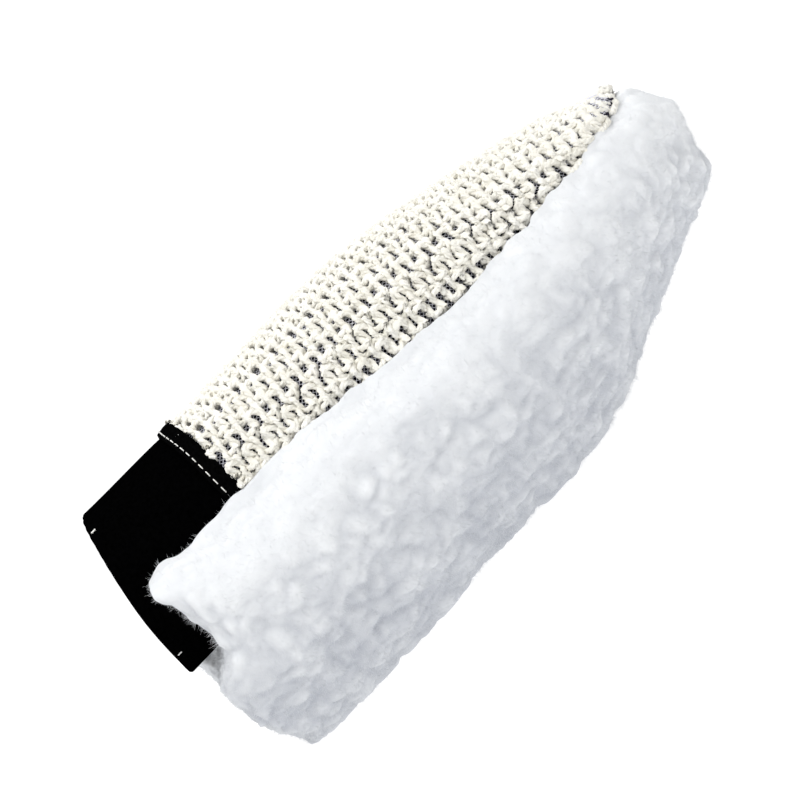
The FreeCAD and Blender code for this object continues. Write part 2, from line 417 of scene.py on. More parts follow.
def tint(tree, shader, factor, dark, light, low=0.3, high=0.7):
    """Base colour that runs from dark to light with a factor."""
    ramp = node(tree, "ShaderNodeValToRGB")
    for stop, place, color in zip(ramp.color_ramp.elements, (low, high), (dark, light)):
        stop.position = place
        stop.color = (*color, 1)
    tree.links.new(factor, ramp.inputs["Fac"])
    tree.links.new(ramp.outputs["Color"], shader.inputs["Base Color"])


def bump(tree, shader, height, strength, distance):
    made = node(tree, "ShaderNodeBump", Strength=strength, Distance=distance)
    tree.links.new(height, made.inputs["Height"])
    tree.links.new(made.outputs["Normal"], shader.inputs["Normal"])


def yarn_material():
    made, tree, shader = material("cream_yarn", (0.90, 0.88, 0.80), 0.95, 0.25)
    tint(tree, shader, object_noise(tree, 160), (0.86, 0.835, 0.75), (0.95, 0.935, 0.88))
    bump(tree, shader, object_noise(tree, 2200, 4), 0.5, 0.4 * MM)
    return made


def plain_fabric(name, dark, light, scale, strength):
    made, tree, shader = material(name, light, 0.95)
    shader.inputs["Specular IOR Level"].default_value = 0.0
    tint(tree, shader, object_noise(tree, scale), dark, light)
    bump(tree, shader, object_noise(tree, scale * 6), strength, 0.2 * MM)
    return made


YARN = yarn_material()
NET = plain_fabric("white_net", (0.70, 0.70, 0.78), (0.82, 0.82, 0.88), 300, 0.1)
LINING = plain_fabric("black_lining", (0.022, 0.020, 0.030), (0.045, 0.042, 0.058), 900, 0.4)
CUFF = plain_fabric("black_cuff", (0.0003, 0.0003, 0.0003), (0.0010, 0.0010, 0.0011), 700, 0.5)
BINDING = plain_fabric("black_binding", (0.0006, 0.0006, 0.0006), (0.0022, 0.0022, 0.0024), 900, 0.5)
THREAD = plain_fabric("white_thread", (0.74, 0.74, 0.70), (0.88, 0.88, 0.85), 800, 0.2)
BACKING = plain_fabric("white_backing", (0.66, 0.68, 0.72), (0.80, 0.81, 0.84), 700, 0.4)
TAPE = plain_fabric("seam_tape", (0.02, 0.02, 0.022), (0.04, 0.04, 0.045), 700, 0.3)
ELASTIC = plain_fabric("elastic", (0.03, 0.03, 0.03), (0.06, 0.06, 0.06), 700, 0.3)

# -------- knit back, netting and lining

WALE = 9.2 * MM
COURSE = 5.1 * MM
COURSE_PAIR = 0.27
LOOP_HALF = 4.6 * MM
LOOP_NECK = 1.25 * MM
LOOP_DEPTH = 1.4 * MM
YARN_RADIUS = 1.2 * MM
LOOP_POINTS = 20
PLIES = 3
PLY_SPREAD = 0.5
PLY_RADIUS = 0.63
PLY_TURN = 7 * MM
PLY_SIDES = 5
KNIT_PIECES = 4
YARN_SINK = 2.7 * MM
# Depths shrink where the back's height over the axis lies between these.
FULL_DEPTH_HEIGHT = 16 * MM
NO_DEPTH_HEIGHT = 2 * MM
LEAST_DEPTH, LEAST_SINK, LEAST_LOOP = 0.12, 0.55, 0.4
LOOP_STAGGER = 0.3
EDGE_OVERLAP = 1.5 * MM
TIP_SHORT = 1.0 * MM
# How the yarn strays, in millimetres: noises along the course, across it, and outwards.
STRAY_ALONG = ((7 * MM, 0.5, 3), (30 * MM, 1.9, 6))
STRAY_ACROSS = ((7 * MM, 0.4, 4), (30 * MM, 1.6, 7))
STRAY_OUT = 0.4
ROW_NOISE = 7.5 * MM
ROW_APART = 0.05

back = Sheet(back_skin)
widest = STATIONS[int(np.argmax(back.half))]


def depth_share(y):
    """How much of each layer's depth is left where the bag thins towards its tip."""
    tall = back.skin.radius(y, np.full(np.shape(y), math.pi / 2))
    return np.clip((tall - NO_DEPTH_HEIGHT) / FULL_DEPTH_HEIGHT, LEAST_DEPTH, 1)


def course_arc(y, course):
    """Where a course lies: fanned out from the cuff to the widest place, then parallel."""
    fan = np.minimum(1, back.half_at(np.minimum(y, widest)) / back.half.max())
    paired = course + COURSE_PAIR * (1 if course % 2 else -1)
    return paired * COURSE * fan


def knit_course(course):
    """The centre line and radius of one course's yarn, in garter stitch."""
    loops = math.ceil((knit_end - knit_start) / WALE) + 1
    t = np.linspace(0, loops * math.tau, loops * LOOP_POINTS)
    y = knit_start + WALE * (t / math.tau - LOOP_STAGGER * hashed(np.array([course, 5, 7]), 19))
    middle = course_arc(y, course)
    inside = np.abs(middle) < back.half_at(y) + EDGE_OVERLAP
    inside &= (y > knit_start) & (y < knit_end - TIP_SHORT)
    if inside.sum() < LOOP_POINTS:
        return None
    run = span(inside)
    t, y, middle = t[run], y[run], middle[run]
    place = np.stack([y, middle, 0 * y], 1)
    tip = smoothstep(0.45, 1.0, (y - knit_start) / (knit_end - knit_start))
    wander = 0.8 + 0.3 * tip
    row = noise(place + np.array([0, 0, course * ROW_APART]), ROW_NOISE, 9)
    side = 1 if course % 2 else -1
    y = y + LOOP_NECK * np.sin(2 * t) + wander * layered(place, STRAY_ALONG) * MM
    arc = (middle - LOOP_HALF * np.cos(t) * (1 + 0.14 * row)
           + wander * layered(place, STRAY_ACROSS) * MM)
    sink = YARN_SINK * np.maximum(depth_share(y), LEAST_SINK)
    depth = LOOP_DEPTH * np.maximum(depth_share(y), LEAST_LOOP)
    lift = -side * depth * np.cos(3 * t) + wander * STRAY_OUT * noise(place, 7 * MM, 5) * MM - sink
    radius = YARN_RADIUS * (1 + 0.12 * row + 0.14 * noise(place, 4 * MM, 8) + 0.10 * tip)
    return back.place(y, arc, lift), radius


def twisted_plies(points, radius):
    """The plies of one yarn, twisted about its centre line."""
    turn = arc_lengths(points) / PLY_TURN * math.tau
    side, up = ways_across(points)
    paths = []
    for ply in range(PLIES):
        angle = (turn + ply * math.tau / PLIES)[:, None]
        away = side * np.cos(angle) + up * np.sin(angle)
        paths.append(points + away * (radius * PLY_SPREAD)[:, None])
    return np.stack(paths), np.tile(radius * PLY_RADIUS, (PLIES, 1))


def make_knit(name, courses):
    yarns = [made for made in map(knit_course, courses) if made is not None]
    parts = [tubes(*twisted_plies(*made), PLY_SIDES) for made in yarns]
    return new_object(name, *joined(parts), YARN)


half_courses = int(back.half.max() / COURSE) + 1
shares = np.array_split(np.arange(-half_courses, half_courses + 1), KNIT_PIECES)
knit = [make_knit(f"knit_mesh_{number}", part.tolist()) for number, part in enumerate(shares)]

NET_CELL = 1.45 * MM
NET_RADIUS = 0.15 * MM
NET_SINK = 4.6 * MM
NET_SHORT = 6 * MM
NET_EDGE = 0.3 * MM
NET_STEP = 0.7
TIP_CLOSE = 9 * MM
TIP_CLOSED = 0.9
LAYER_ROWS = 110
LAYER_COLUMNS = 120
RIPPLE_SIZE = 14 * MM
# Where a layer comes under the knit, from the knit's first row.
UNDER_KNIT = (-12 * MM, 4 * MM)


def make_net():
    """Fine threads in two slanting directions over the whole back."""
    length = knit_end - knit_start - NET_SHORT
    reach = back.half.max()
    parts = []
    steps = int(length / (NET_CELL * NET_STEP))
    run = np.linspace(0, length - 0.5 * MM, steps)
    for way in (1, -1):
        for offset in np.arange(-reach - length, reach + length, NET_CELL * math.sqrt(2)):
            arc = offset + way * run
            y = knit_start + run
            inside = np.abs(arc) < back.half_at(y) - NET_EDGE
            if inside.sum() < 4:
                continue
            keep = span(inside)
            path = back.place(y[keep], arc[keep], -NET_SINK * depth_share(y[keep]))
            parts.append(tubes(path[None], np.full((1, len(path)), NET_RADIUS), 3))
    return new_object("netting_underlay_mesh", *joined(parts), NET)


def skin_layer(name, sheet, sink, thickness, finish, ripple=0.0, under=0.0, reshape=None):
    """A closed thin cloth a given depth below a skin, and deeper by under where the knit is."""
    along = np.linspace(sheet.skin.along[0], sheet.skin.along[-1], LAYER_ROWS)
    share = np.linspace(-1, 1, LAYER_COLUMNS)
    y, part = np.meshgrid(along, share, indexing="ij")
    arc = part * sheet.half_at(y)
    flat = np.stack([y.ravel(), arc.ravel(), 0 * y.ravel()], 1)
    wave = ripple * noise(flat, RIPPLE_SIZE, 21).reshape(y.shape)
    share = depth_share(y)
    sink = sink + under * smoothstep(*UNDER_KNIT, y - knit_start)
    outer = sheet.place(y, arc, share * (-sink + wave))
    inner = sheet.place(y, arc, share * (-sink - thickness + wave))
    if reshape:
        outer, inner = reshape(y, outer), reshape(y, inner)
    return closed_pair(name, outer, inner, finish)


def close_tip(y, point):
    """Draw a lining's last rows together at the seam, where its end is sewn."""
    near = smoothstep(y.max() - TIP_CLOSE, y.max(), y)
    point[..., 2] += TIP_CLOSED * near * (seam_height(y) - point[..., 2])
    return point


def closed_pair(name, outer, inner, finish, wrap=False):
    """Two matching grids joined round their edges into one closed mesh."""
    rows, columns = outer.shape[:2]
    top = grid_faces(rows, columns, wrap)
    bottom = grid_faces(rows, columns, wrap, rows * columns)[:, ::-1]
    index = np.arange(rows * columns).reshape(rows, columns)
    if wrap:
        index = np.append(index, index[:, :1], 1)
    edges = [index[0], index[-1][::-1]]
    if not wrap:
        edges += [index[:, -1], index[::-1, 0]]
    rims = []
    for edge in edges:
        a, b = edge[:-1], edge[1:]
        rims.append(np.stack([b, a, a + rows * columns, b + rows * columns], 1))
    vertices = np.concatenate([outer.reshape(-1, 3), inner.reshape(-1, 3)])
    return new_object(name, vertices, np.concatenate([top, bottom] + rims), finish)


net = make_net()
back_lining = skin_layer("back_lining_cloth", back, 5.4 * MM, 0.8 * MM, LINING, ripple=0.5 * MM,
                         reshape=close_tip)
for piece in knit:
    settle(piece, "knit_mesh_panel")
settle(net, "netting_underlay")
settle(back_lining, "back_lining")

# -------- fleece palm

PUFF_VOXEL = 5 * MM
PUFF_FRAMES = 20
PUFF_PRESSURE = 4.0
PUFF_CAP = 4 * MM
SOFT_VOXEL = 2.4 * MM
PILE_VOXEL = 0.85 * MM

# Height of the pile's upper edge at places along the mitt.
FRINGE = ((-0.134, 0.0930), (-0.120, 0.0905), (-0.108, 0.0850), (-0.095, 0.0822),
          (-0.0775, 0.0828), (-0.0425, 0.0825), (0.0075, 0.0775), (0.0575, 0.0770),
          (0.0875, 0.0785), (0.1150, 0.0825), (0.1280, 0.0860), (0.137, 0.0815))
# How far the fleece's tip is pushed out, by height.
TIP_OUT = ((0.015, 0.0), (0.036, 0.0130), (0.043, 0.0095), (0.055, 0.0045), (0.066, 0.0068),
           (0.080, -0.0015))
PALM_SLANT = math.tan(math.radians(5.5))
SHOULDER = 20 * MM
SHOULDER_PULL = 0.72
FRINGE_REACH = 30 * MM
FRINGE_TUFT = 1.1 * MM
FRINGE_TUFTS = ((9 * MM, 0.5, 51), (4.5 * MM, 1.0, 52))
# The pile's end at the cuff steps back above, comes forth below, and is hollow between.
FRONT_BACK = 6 * MM
FRONT_FORTH = 7 * MM
FRONT_HOLLOW = 3.5 * MM
FRONT_REACH = 45 * MM
STEP_HEIGHT, STEP_TALL, STEP_FAR_SIDE = 40 * MM, 14 * MM, 11 * MM
FAR_SIDE = (-45 * MM, -15 * MM)
FORTH_HEIGHTS = (2 * MM, 26 * MM)
HOLLOW_FROM, HOLLOW_TO = (50 * MM, 60 * MM), (74 * MM, 82 * MM)
TIP_REACH = 50 * MM
PILE_INSET = 1.6 * MM
FOOT_LIFT = 0.2 * MM
FOOT_HEIGHT = 16 * MM
SCALLOP = 2.6 * MM
BACKING_TUCK = 3 * MM
CURD_SIZE = 7.4 * MM
# The pile is combed flat in a band below its edge, with a share of its relief left.
BAND_LIMITS = (12 * MM, 32 * MM)
BAND_WANDER = 7 * MM
BAND_FRONT = 12 * MM
BAND_RELIEF = 0.38
WARP = 2.4 * MM
SWELL = ((34 * MM, 1.2, 41), (15 * MM, 0.5, 42))
# (strength in millimetres, middle) of curds, small curds, lumps, lumplets and fine noise.
RELIEF = ((1.5, 0.5), (0.6, 0.5), (2.2, 0.4), (0.9, 0.4), (0.2, 0.0))
# Shares of the pile's colour value, painted shade in creases and between lumps plus random tone: curds,
# creases, each curd's own number, lumps, lumplets and broad clouds.
SHADE_TONE_BASE = 0.33
SHADE_TONE_SHARES = (0.12, 0.12, 0.14, 0.36, 0.16, 0.12)
LOW_SHADE = 0.42
LOW_HEIGHTS = (12 * MM, 62 * MM)

backing_low, backing_high = node_box("fleece_backing")
LOWER = np.linspace(-math.pi + 0.04, -0.04, 91)
palm_places = np.linspace(backing_low[1], backing_high[1] - 0.2 * MM, 100)
palm_skin = Skin(palm_places, LOWER,
                 fill_gaps(outside(backing_tree, palm_places, LOWER)))


def read_vectors(items, key):
    values = np.zeros(len(items) * 3, np.float32)
    items.foreach_get(key, values)
    return values.reshape(-1, 3).astype(np.float64)


def store(mesh, points):
    mesh.vertices.foreach_set("co", points.astype(np.float32).ravel())
    mesh.update()


def applied(thing):
    """A new mesh with the object's modifiers applied, which replaces its own."""
    bpy.context.view_layer.update()
    graph = bpy.context.evaluated_depsgraph_get()
    mesh = bpy.data.meshes.new_from_object(thing.evaluated_get(graph))
    thing.modifiers.clear()
    old = thing.data
    thing.data = mesh
    bpy.data.meshes.remove(old)
    return mesh


def soften(thing, passes):
    modifier = thing.modifiers.new("soften", "SMOOTH")
    modifier.factor = 0.5
    modifier.iterations = passes
    return applied(thing)


def voxel_remesh(thing, size, passes):
    modifier = thing.modifiers.new("remesh", "REMESH")
    modifier.mode = "VOXEL"
    modifier.voxel_size = size
    return soften(thing, passes)


def puff(thing):
    """Swell a closed mesh as cloth under pressure, and cap how far any point moves."""
    rest = read_vectors(thing.data.vertices, "co")
    cloth = thing.modifiers.new("cloth", "CLOTH")
    cloth.settings.use_pressure = True
    cloth.settings.uniform_pressure_force = PUFF_PRESSURE
    cloth.settings.effector_weights.gravity = 0
    cloth.point_cache.frame_end = PUFF_FRAMES
    for number in range(1, PUFF_FRAMES + 1):
        bpy.context.scene.frame_set(number)
    mesh = applied(thing)
    bpy.context.scene.frame_set(1)
    moved = read_vectors(mesh.vertices, "co") - rest
    far = np.linalg.norm(moved, axis=1, keepdims=True)
    store(mesh, rest + moved * np.minimum(1, PUFF_CAP / (far + 1e-9)))


def around(points):
    """Distance from the axis, and angle round it, of points."""
    x, z = points[:, 0], points[:, 2] - AXIS_Z
    return np.hypot(x, z), np.arctan2(z, x)


def palm_clearance(points):
    """How far points stand off the fleece's backing."""
    distance, angle = around(points)
    over = np.where(points[:, 0] > 0, LOWER[-1], LOWER[0])
    angle = np.clip(np.where(angle > 0, over, angle), LOWER[0], LOWER[-1])
    return distance - palm_skin.radius(points[:, 1], angle)


def fringe_height(y):
    """Height of the pile's upper edge along the mitt."""
    return np.interp(y, *np.array(FRINGE).T)


def shape_pile(thing):
    """Move the upper edge to the fringe, round the pile over from the seam, and shape its ends."""
    mesh = voxel_remesh(thing, SOFT_VOXEL, 10)
    points = read_vectors(mesh.vertices, "co")
    x, y, z = points.T
    top = seam_height(y) - SEAM_GAP
    near_top = fade(0, FRINGE_REACH, top - z)
    run = points * np.array([0, 1, 0]) + np.array([1, 0, 0]) * np.sign(points[:, :1])
    tufts = layered(run, FRINGE_TUFTS) * FRINGE_TUFT
    z += near_top * (fringe_height(y) - top) + near_top**3 * tufts
    below = np.clip((fringe_height(y) - z) / SHOULDER, 0, 1)
    pull = SHOULDER_PULL * (1 - np.sqrt(1 - (1 - below) ** 2))
    clear = np.maximum(palm_clearance(points), 0)
    scale = 1 - pull * clear / np.maximum(around(points)[0], 1 * MM)
    high = smoothstep(0, STEP_TALL, z - STEP_HEIGHT - STEP_FAR_SIDE * fade(*FAR_SIDE, x))
    low = smoothstep(*FORTH_HEIGHTS, z) * (1 - high)
    near_front = fade(0, FRONT_REACH, y - pile_low[1])
    hollow = smoothstep(*HOLLOW_FROM, z) * fade(*HOLLOW_TO, z)
    y += near_front * (FRONT_BACK * high - FRONT_FORTH * low + FRONT_HOLLOW * hollow)
    at_tip = smoothstep(pile_high[1] - TIP_REACH, pile_high[1], y)
    y += at_tip * np.interp(z, *np.array(TIP_OUT).T)
    x *= scale
    z[:] = AXIS_Z + (z - AXIS_Z) * scale
    store(mesh, points)


def curds(points, size, salt):
    """Round lumps of the pile: height, the lump's own number, and how clear of a crease."""
    first, second, own = tuft_cells(points, size, salt)
    dome = np.clip(1 - (first / 0.9) ** 2, 0, 1)
    crease = smoothstep(0.0, 0.55, second - first)
    return (0.3 + 0.7 * dome) * (0.35 + 0.65 * crease) + 0.28 * (own - 0.5) * crease, own, crease


def billow(points, size, salt):
    """Rounded lumps that meet in creases: 0 in a crease, and up to 1."""
    return np.abs(noise(points, size, salt)) ** 0.7


def roughen_pile(thing):
    """Push the curds out of the smooth pile and record a colour value at each place: painted shade in
    its creases and low down, with random tone.
    """
    mesh = thing.data
    points = read_vectors(mesh.vertices, "co")
    normals = read_vectors(mesh.vertex_normals, "vector")
    clear = smoothstep(1 * MM, 6 * MM, palm_clearance(points))
    below = fringe_height(points[:, 1]) - points[:, 2]
    front = fade(0, 24 * MM, points[:, 1] - pile_low[1])
    wander = BAND_WANDER * noise(points, 20 * MM, 40)
    band = smoothstep(*BAND_LIMITS, below + wander + BAND_FRONT * front)
    band = BAND_RELIEF + (1 - BAND_RELIEF) * band
    warp = np.stack([noise(points, 9 * MM, salt) for salt in (31, 32, 33)], 1) * WARP
    broad, own, crease = curds(points + warp, CURD_SIZE, 2)
    small = curds(points + warp * 0.6, CURD_SIZE * 0.55, 5)[0]
    fine = noise(points, 2.2 * MM, 43)
    ridges = noise(points * np.array([0.15, 1, 1]), 12 * MM, 45) * 1.3
    lump = billow(points + warp * 1.6, 9.5 * MM, 46)
    lumplet = billow(points + warp, 5 * MM, 47)
    relief = sum(strength * (part - middle) for (strength, middle), part
                 in zip(RELIEF, (broad, small, lump, lumplet, fine)))
    height = (layered(points, SWELL) * (0.4 + 0.6 * band) + ridges + band * relief) * MM
    points = points + normals * ((height - PILE_INSET) * clear)[:, None]
    z = points[:, 2]
    scallop = FOOT_LIFT + SCALLOP * (1 - billow(points * np.array([0.2, 1, 0]), 11 * MM, 48))
    z += scallop * fade(0, FOOT_HEIGHT, z)
    z[:] = np.maximum(z, 0)
    store(mesh, points)
    # Painted shade: darker in the creases, between lumps and towards the floor, and lifted in the combed
    # band below the edge. Each curd's own number and the broad clouds add random tone.
    parts = (broad, crease, own, lump, lumplet, noise(points, 26 * MM, 44))
    tone_and_painted_shade = sum((share * part for share, part in zip(SHADE_TONE_SHARES, parts)), SHADE_TONE_BASE)
    tone_and_painted_shade = 1 - (1 - np.clip(tone_and_painted_shade, 0, 1)) * band
    tone_and_painted_shade -= LOW_SHADE * fade(*LOW_HEIGHTS, z)
    shade = mesh.attributes.new("tone_and_painted_shade", "FLOAT", "POINT")
    shade.data.foreach_set("value", tone_and_painted_shade.astype(np.float32))


def make_pile():
    thing = linked("fleece_pile_mesh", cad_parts["fleece_pile"].data.copy())
    voxel_remesh(thing, PUFF_VOXEL, 0)
    puff(thing)
    shape_pile(thing)
    voxel_remesh(thing, PILE_VOXEL, 4)
    roughen_pile(thing)
    mesh = soften(thing, 6)
    mesh.polygons.foreach_set("use_smooth", np.full(len(mesh.polygons), True))
    mesh.materials.clear()
    mesh.materials.append(FLEECE)
    return thing


FIBRE_COUNT = 110000
FIBRE_PIECES = 4
FIBRE_ROOT = 0.065 * MM
FIBRE_SHORT = 1.6 * MM
FIBRE_LONG = 3.2 * MM
BAND_FIBRES = 0.4
FIBRE_LEAN = 0.55
FIBRE_BEND = 0.35
FIBRE_COMBED = 0.8
FIBRE_SUNK = 1.2 * MM
FIBRE_TAPER = np.array([1.0, 0.75, 0.12])


def make_fibres(pile):
    """Loose tapered fibres over the open side of the pile."""
    mesh = pile.data
    mesh.calc_loop_triangles()
    corner = np.zeros(len(mesh.loop_triangles) * 3, np.int32)
    mesh.loop_triangles.foreach_get("vertices", corner)
    corner = corner.reshape(-1, 3)
    points = read_vectors(mesh.vertices, "co")
    normals = read_vectors(mesh.vertex_normals, "vector")
    a, b, c = (points[corner[:, k]] for k in range(3))
    area = np.linalg.norm(np.cross(b - a, c - a), axis=1)
    middle = (a + b + c) / 3
    area = area * (palm_clearance(middle) > 2 * MM) * (middle[:, 2] > 1.5 * MM)
    open_side = smoothstep(10 * MM, 24 * MM, fringe_height(middle[:, 1]) - middle[:, 2])
    area = area * (BAND_FIBRES + (1 - BAND_FIBRES) * open_side)
    chosen = rng.choice(len(area), FIBRE_COUNT, p=area / area.sum())
    root = middle[chosen]
    out = normals[corner[chosen, 0]]
    lean = rng.normal(size=(FIBRE_COUNT, 3)) * FIBRE_LEAN
    below = fringe_height(root[:, 1]) - root[:, 2]
    combed = fade(8 * MM, 22 * MM, below)
    side = np.sign(root[:, 0])
    over = np.stack([0.5 * side, 0 * side, 0.5 + 0 * side], 1)
    way = out + lean * (1 - 0.5 * combed[:, None]) + over * combed[:, None] * FIBRE_COMBED
    way /= np.linalg.norm(way, axis=1, keepdims=True)
    bend = rng.normal(size=(FIBRE_COUNT, 3)) * FIBRE_BEND
    edge = np.maximum(combed, fade(0, 16 * MM, root[:, 1] - pile_low[1]))
    length = rng.uniform(FIBRE_SHORT, FIBRE_LONG, FIBRE_COUNT) * (1 - 0.2 * edge)
    steps = np.array([0.0, 0.5, 1.0])
    sunk = root - out * FIBRE_SUNK
    paths = (sunk[:, None] + way[:, None] * (length[:, None] * steps)[..., None]
             + bend[:, None] * (length[:, None] * steps**2)[..., None])
    paths[..., 2] = np.maximum(paths[..., 2], 0.2 * MM)
    radii = FIBRE_ROOT * FIBRE_TAPER[None] * rng.uniform(0.7, 1.2, (FIBRE_COUNT, 1))
    made = []
    for number, part in enumerate(np.array_split(np.arange(FIBRE_COUNT), FIBRE_PIECES)):
        made.append(new_object(f"fleece_fibres_{number}", *tubes(paths[part], radii[part], 3), FIBRE))
    return made


def fibre_material():
    """Thin fibres; a faint glow stands for the light that scatters between them."""
    made, _, shader = material("white_fibre", (0.66, 0.675, 0.695), 1.0)
    glow(shader, (0.95, 0.97, 1), 0.08)
    return made


def fleece_material():
    made, tree, shader = material("white_fleece", (0.76, 0.775, 0.795), 1.0, 0.15)
    # Painted shade: the ramp's dark end is shade painted into the pile's creases and low down, mixed
    # with random tone.
    tone_and_painted_shade = node(tree, "ShaderNodeAttribute", attribute_name="tone_and_painted_shade")
    tint(tree, shader, tone_and_painted_shade.outputs["Fac"], (0.45, 0.47, 0.515), (0.80, 0.815, 0.83), 0.0, 1.0)
    bump(tree, shader, object_noise(tree, 1500, 4), 0.3, 0.3 * MM)
    return made


FLEECE = fleece_material()
FIBRE = fibre_material()
pile = make_pile()
settle(pile, "fleece_pile")
fibres = make_fibres(pile)
for piece in fibres:
    settle(piece, "fleece_pile")

# -------- palm lining, backing and seam

TAPE_IN = 5.8 * MM
TAPE_WIDTH = 4.5 * MM
TAPE_HALF = 1.1 * MM
SEAM_STITCH_PITCH = 4.2 * MM
SEAM_STITCH_LONG = 2.8 * MM
SEAM_THREAD_RADIUS = 0.32 * MM


def end_slant(y, point):
    """Move the start of the backing back with the fleece's slanted end."""
    near = fade(0, FRONT_REACH, y - backing_low[1])
    slant = PALM_SLANT * np.maximum(AXIS_Z - point[..., 2], 0)
    point[..., 1] += near * (FRONT_BACK + BACKING_TUCK + slant)
    return point


def make_palm_cloths():
    """The palm's lining, and the knitted backing that the pile stands on."""
    lining_low, lining_high = node_box("palm_lining")
    places = np.linspace(lining_low[1], lining_high[1] - 0.3 * MM, 70)
    skin = Skin(places, LOWER, fill_gaps(outside(tree_of("palm_lining"), places, LOWER)))
    lining = skin_layer("palm_lining_cloth", Sheet(skin), 4.8 * MM, 0.8 * MM, LINING,
                        ripple=0.3 * MM, reshape=close_tip)
    backing = skin_layer("fleece_backing_cloth", Sheet(palm_skin), 0.2 * MM, 0.9 * MM, BACKING,
                         ripple=0.15 * MM, under=4.6 * MM, reshape=end_slant)
    settle(lining, "palm_lining")
    settle(backing, "fleece_backing")
    return lining, backing


def seam_line(inset, lift, count):
    """Points round the bag from one side of the cuff past the tip to the other."""
    places = back.skin.along
    sides = []
    for angle in (0.0, math.pi):
        radius = back.skin.radius(places, np.full(len(places), angle))
        x = np.sign(math.cos(angle)) * np.maximum(radius - inset, 0.4 * MM)
        sides.append(np.stack([x, places, seam_height(places) + lift], 1))
    line = np.concatenate([sides[0][:-4], sides[1][:-4][::-1]])
    arc = arc_lengths(line)
    fine = np.linspace(0, arc[-1], count)
    return np.stack([np.interp(fine, arc, line[:, k]) for k in range(3)], 1), arc[-1]


def make_tape():
    """The flat tape sewn between the back and the palm."""
    up = np.array([0, 0, 1])
    top, bottom = [], []
    for part in np.linspace(0, 1, 7):
        line, _ = seam_line(TAPE_IN + part * TAPE_WIDTH, 0, 300)
        wave = 0.25 * MM * noise(line, 9 * MM, 61)
        edge = TAPE_HALF * math.sqrt(max(1 - abs(2 * part - 1) ** 4, 0.02))
        top.append(line + up * (wave + edge)[:, None])
        bottom.append(line + up * (wave - edge)[:, None])
    made = closed_pair("perimeter_seam_tape_strip", np.stack(top, 1), np.stack(bottom, 1), TAPE)
    settle(made, "perimeter_seam_tape")


def stitch_paths(starts, ends, rise, out):
    """Short threads that come up out of the cloth at one end and go down at the other."""
    part = np.linspace(0, 1, 7)
    arch = np.sin(part * math.pi) ** 0.5
    run = starts[:, None] + (ends - starts)[:, None] * part[None, :, None]
    return run + out[:, None] * (rise * (arch - 1) + 0.1 * rise)[None, :, None]


def make_threads(name, node, paths, radius, sides=8):
    """A piece of white sewing thread along paths of one thickness."""
    made = new_object(name, *tubes(paths, np.full(paths.shape[:2], radius), sides), THREAD)
    settle(made, node)


def make_seam_thread():
    line, length = seam_line(TAPE_IN + TAPE_WIDTH / 2, -TAPE_HALF - 0.35 * MM, 1600)
    step = length / (len(line) - 1)
    first = np.arange(10, len(line) - 20, int(SEAM_STITCH_PITCH / step))
    last = first + int(SEAM_STITCH_LONG / step)
    out = np.tile([0.0, 0.0, -1.0], (len(first), 1))
    paths = stitch_paths(line[first], line[last], 0.7 * MM, out)
    make_threads("perimeter_seam_stitches", "perimeter_seam_thread", paths, SEAM_THREAD_RADIUS)


# -------- cuff and elastic

MOUTH_RISE = 14 * MM
MOUTH_BULGE = 3.2 * MM
CUFF_CLOTH = 0.8 * MM
HEM = 12 * MM
FOLD = 1.45 * MM
LINING_FROM = 8 * MM
LINING_SINK = 3.2 * MM
ELASTIC_FROM = 2 * MM
ELASTIC_WIDTH = 9 * MM
ELASTIC_SINK = 0.95 * MM
ELASTIC_THICK = 1.0 * MM
PUCKERS = 34
PUCKER_DEPTH = 0.38
PUCKER_REACH = 13 * MM
CUFF_FOLDS = ((19 * MM, 0.75, 71), (8 * MM, 0.22, 72))
CUFF_INSET = 0.45
# The folds fade before the binding: distances from the mouth's edge.
FOLDS_FADE = (42 * MM, 54 * MM)
EDGE_WAVE = 0.9 * MM
EDGE_WAVE_REACH = 9 * MM
RING = np.linspace(-math.pi, math.pi, 241)

cuff_places = np.linspace(cuff_low[1] + 0.3 * MM, cuff_high[1] - 0.3 * MM, 48)
cuff_distance = outside(tree_of("cuff_outer"), cuff_places, RING)
cuff_skin = Skin(cuff_places, RING, fill_gaps(cuff_distance.T).T)


def mouth_at(angle):
    """Where the leaning mouth lies along the mitt, by angle round the cuff."""
    near = cuff_skin.radius(np.full(np.shape(angle), cuff_low[1] + MOUTH_RISE), angle)
    share = (AXIS_Z + near * np.sin(angle) - cuff_low[2]) / (cuff_high[2] - cuff_low[2])
    share = np.clip(share, 0, 1)
    return cuff_low[1] + MOUTH_RISE * share - MOUTH_BULGE * np.sin(share * math.pi)


def cuff_wrinkle(s, angle, point):
    """Soft folds in the cloth, and the elastic's puckers beside the mouth."""
    shape = angle.shape
    flat = point.reshape(-1, 3) * np.array([1, 0.45, 1])
    folds = layered(flat, CUFF_FOLDS).reshape(shape)
    turn = PUCKERS * angle + 2.2 * noise(point.reshape(-1, 3), 22 * MM, 73).reshape(shape)
    puckers = np.sin(turn) * PUCKER_DEPTH * np.exp(-np.maximum(s, 0) / PUCKER_REACH)
    held = 1 - 0.8 * smoothstep(*FOLDS_FADE, s)
    return (folds * held + puckers - CUFF_INSET) * MM


def cuff_surface(s, angle, lift):
    """Points a distance from the mouth's edge, at an angle round, a lift above the cloth."""
    y = np.minimum(mouth_at(angle) + s, cuff_high[1])
    base = cuff_skin.point(y, angle)
    r = cuff_skin.radius(y, angle) + lift + cuff_wrinkle(s, angle, base)
    turn = angle.ravel()
    wave = noise(np.stack([0 * turn, 9 * MM * turn, 0 * turn], 1), 7 * MM, 74).reshape(angle.shape)
    y = y + EDGE_WAVE * wave * np.exp(-np.maximum(s, 0) / EDGE_WAVE_REACH)
    return np.stack([r * np.cos(angle), y, AXIS_Z + r * np.sin(angle)], -1)


